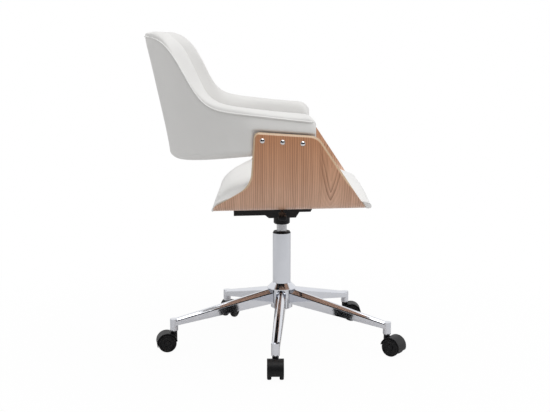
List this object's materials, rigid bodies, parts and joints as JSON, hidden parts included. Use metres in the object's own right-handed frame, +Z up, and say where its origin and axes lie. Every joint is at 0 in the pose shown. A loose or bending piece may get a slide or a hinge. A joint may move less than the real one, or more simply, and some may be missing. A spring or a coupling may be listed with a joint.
{
  "type": "office chair",
  "caption": "Swivel office chair: padded barrel back with arms, bent plywood seat sling, gas lift with a height lever, and a star base on twin-wheel casters.",
  "frame": {"origin": "on the floor, under the column axis", "axes": "+Z up along the column, the chair faces -Y, the sitter's left is +X"},
  "size_m": [0.6619, 0.7046, 0.8655],
  "materials": {
    "chrome": "polished chrome",
    "screw_chrome": "polished chrome",
    "black_nylon": "moulded nylon, fine texture",
    "wheel_nylon": "moulded nylon, satin",
    "black_steel": "black powder coat",
    "silver_steel": "ground steel",
    "zinc_steel": "zinc plated",
    "black_rubber": "rubber",
    "oak_veneer": "satin lacquered veneer",
    "plain_ply": "raw plywood",
    "white_leather": "coated leather, fine grain"
  },
  "bodies": {
    "base": {"base_hub": "chrome", "base_leg_1": "chrome", "base_leg_2": "chrome", "base_leg_3": "chrome", "base_leg_4": "chrome", "base_leg_5": "chrome", "caster_sleeves": "black_nylon", "column_tube": "chrome", "column_bush": "black_nylon", "column_floor": "zinc_steel", "thrust_bearing": "zinc_steel"},
    "rod": {"piston_rod": "silver_steel", "rod_clip": "zinc_steel", "rubber_bumper": "black_rubber"},
    "seat": {"gas_cylinder": "silver_steel", "cylinder_seal": "silver_steel", "seat_plate": "black_steel", "socket_bridge": "black_steel", "taper_socket": "black_steel", "socket_cover": "black_nylon", "lever_pivot": "zinc_steel", "plate_bolts": "zinc_steel", "plate_nuts": "zinc_steel", "ply_shell": "oak_veneer", "seat_cushion": "white_leather", "seat_board": "plain_ply", "back_upholstery": "white_leather", "back_frame": "plain_ply", "arm_screws": "screw_chrome", "arm_nuts": "zinc_steel"},
    "lever": {"lever_rod": "black_steel", "lever_grip": "black_nylon"},
    "release": {"release_pin": "silver_steel"},
    "caster_1": {"caster_stem_1": "zinc_steel", "caster_hood_1": "black_nylon", "caster_axle_1": "zinc_steel"},
    "wheel_a_1": {"caster_wheel_a_1": "wheel_nylon"},
    "wheel_b_1": {"caster_wheel_b_1": "wheel_nylon"},
    "caster_2": {"caster_stem_2": "zinc_steel", "caster_hood_2": "black_nylon", "caster_axle_2": "zinc_steel"},
    "wheel_a_2": {"caster_wheel_a_2": "wheel_nylon"},
    "wheel_b_2": {"caster_wheel_b_2": "wheel_nylon"},
    "caster_3": {"caster_stem_3": "zinc_steel", "caster_hood_3": "black_nylon", "caster_axle_3": "zinc_steel"},
    "wheel_a_3": {"caster_wheel_a_3": "wheel_nylon"},
    "wheel_b_3": {"caster_wheel_b_3": "wheel_nylon"},
    "caster_4": {"caster_stem_4": "zinc_steel", "caster_hood_4": "black_nylon", "caster_axle_4": "zinc_steel"},
    "wheel_a_4": {"caster_wheel_a_4": "wheel_nylon"},
    "wheel_b_4": {"caster_wheel_b_4": "wheel_nylon"},
    "caster_5": {"caster_stem_5": "zinc_steel", "caster_hood_5": "black_nylon", "caster_axle_5": "zinc_steel"},
    "wheel_a_5": {"caster_wheel_a_5": "wheel_nylon"},
    "wheel_b_5": {"caster_wheel_b_5": "wheel_nylon"}
  },
  "joints": [
    {"name": "seat_swivel", "type": "hinge", "parent": "base", "child": "rod", "pos_m": [0, 0, 0.11], "axis": [0, 0, 1], "continuous": true},
    {"name": "seat_lift", "type": "slide", "parent": "rod", "child": "seat", "axis": [0, 0, 1], "range_m": [0, 0.1]},
    {"name": "lever_tip", "type": "hinge", "parent": "seat", "child": "lever", "pos_m": [-0.06, 0, 0.404], "axis": [0, 1, 0], "range_deg": [0, 2.8]},
    {"name": "release_press", "type": "slide", "parent": "seat", "child": "release", "axis": [0, 0, -1], "range_m": [0, 0.0032]},
    {"name": "caster_swivel_1", "type": "hinge", "parent": "base", "child": "caster_1", "pos_m": [-0.3045, 0.01745, 0.05], "axis": [0, 0, 1], "continuous": true},
    {"name": "wheel_spin_a_1", "type": "hinge", "parent": "caster_1", "child": "wheel_a_1", "pos_m": [-0.3245, 0.01745, 0.025], "axis": [0, -1, 0], "continuous": true},
    {"name": "wheel_spin_b_1", "type": "hinge", "parent": "caster_1", "child": "wheel_b_1", "pos_m": [-0.3245, 0.01745, 0.025], "axis": [0, -1, 0], "continuous": true},
    {"name": "caster_swivel_2", "type": "hinge", "parent": "base", "child": "caster_2", "pos_m": [-0.11069, -0.2842, 0.05], "axis": [0, 0, 1], "continuous": true},
    {"name": "wheel_spin_a_2", "type": "hinge", "parent": "caster_2", "child": "wheel_a_2", "pos_m": [-0.12188, -0.30079, 0.025], "axis": [0.829, -0.5592, 0], "continuous": true},
    {"name": "wheel_spin_b_2", "type": "hinge", "parent": "caster_2", "child": "wheel_b_2", "pos_m": [-0.12188, -0.30079, 0.025], "axis": [0.829, -0.5592, 0], "continuous": true},
    {"name": "caster_swivel_3", "type": "hinge", "parent": "base", "child": "caster_3", "pos_m": [0.23609, -0.1931, 0.05], "axis": [0, 0, 1], "continuous": true},
    {"name": "wheel_spin_a_3", "type": "hinge", "parent": "caster_3", "child": "wheel_a_3", "pos_m": [0.23609, -0.2131, 0.025], "axis": [1, 0, 0], "continuous": true},
    {"name": "wheel_spin_b_3", "type": "hinge", "parent": "caster_3", "child": "wheel_b_3", "pos_m": [0.23609, -0.2131, 0.025], "axis": [1, 0, 0], "continuous": true},
    {"name": "caster_swivel_4", "type": "hinge", "parent": "base", "child": "caster_4", "pos_m": [0.2566, 0.16486, 0.05], "axis": [0, 0, 1], "continuous": true},
    {"name": "wheel_spin_a_4", "type": "hinge", "parent": "caster_4", "child": "wheel_a_4", "pos_m": [0.27458, 0.1561, 0.025], "axis": [0.4384, 0.8988, 0], "continuous": true},
    {"name": "wheel_spin_b_4", "type": "hinge", "parent": "caster_4", "child": "wheel_b_4", "pos_m": [0.27458, 0.1561, 0.025], "axis": [0.4384, 0.8988, 0], "continuous": true},
    {"name": "caster_swivel_5", "type": "hinge", "parent": "base", "child": "caster_5", "pos_m": [-0.0775, 0.29499, 0.05], "axis": [0, 0, 1], "continuous": true},
    {"name": "wheel_spin_a_5", "type": "hinge", "parent": "caster_5", "child": "wheel_a_5", "pos_m": [-0.08097, 0.31469, 0.025], "axis": [-0.9848, -0.1736, 0], "continuous": true},
    {"name": "wheel_spin_b_5", "type": "hinge", "parent": "caster_5", "child": "wheel_b_5", "pos_m": [-0.08097, 0.31469, 0.025], "axis": [-0.9848, -0.1736, 0], "continuous": true}
  ],
  "couplings": [
    {"joint": "release_press", "follows": "lever_tip", "m_per_rad": 0.06}
  ]
}
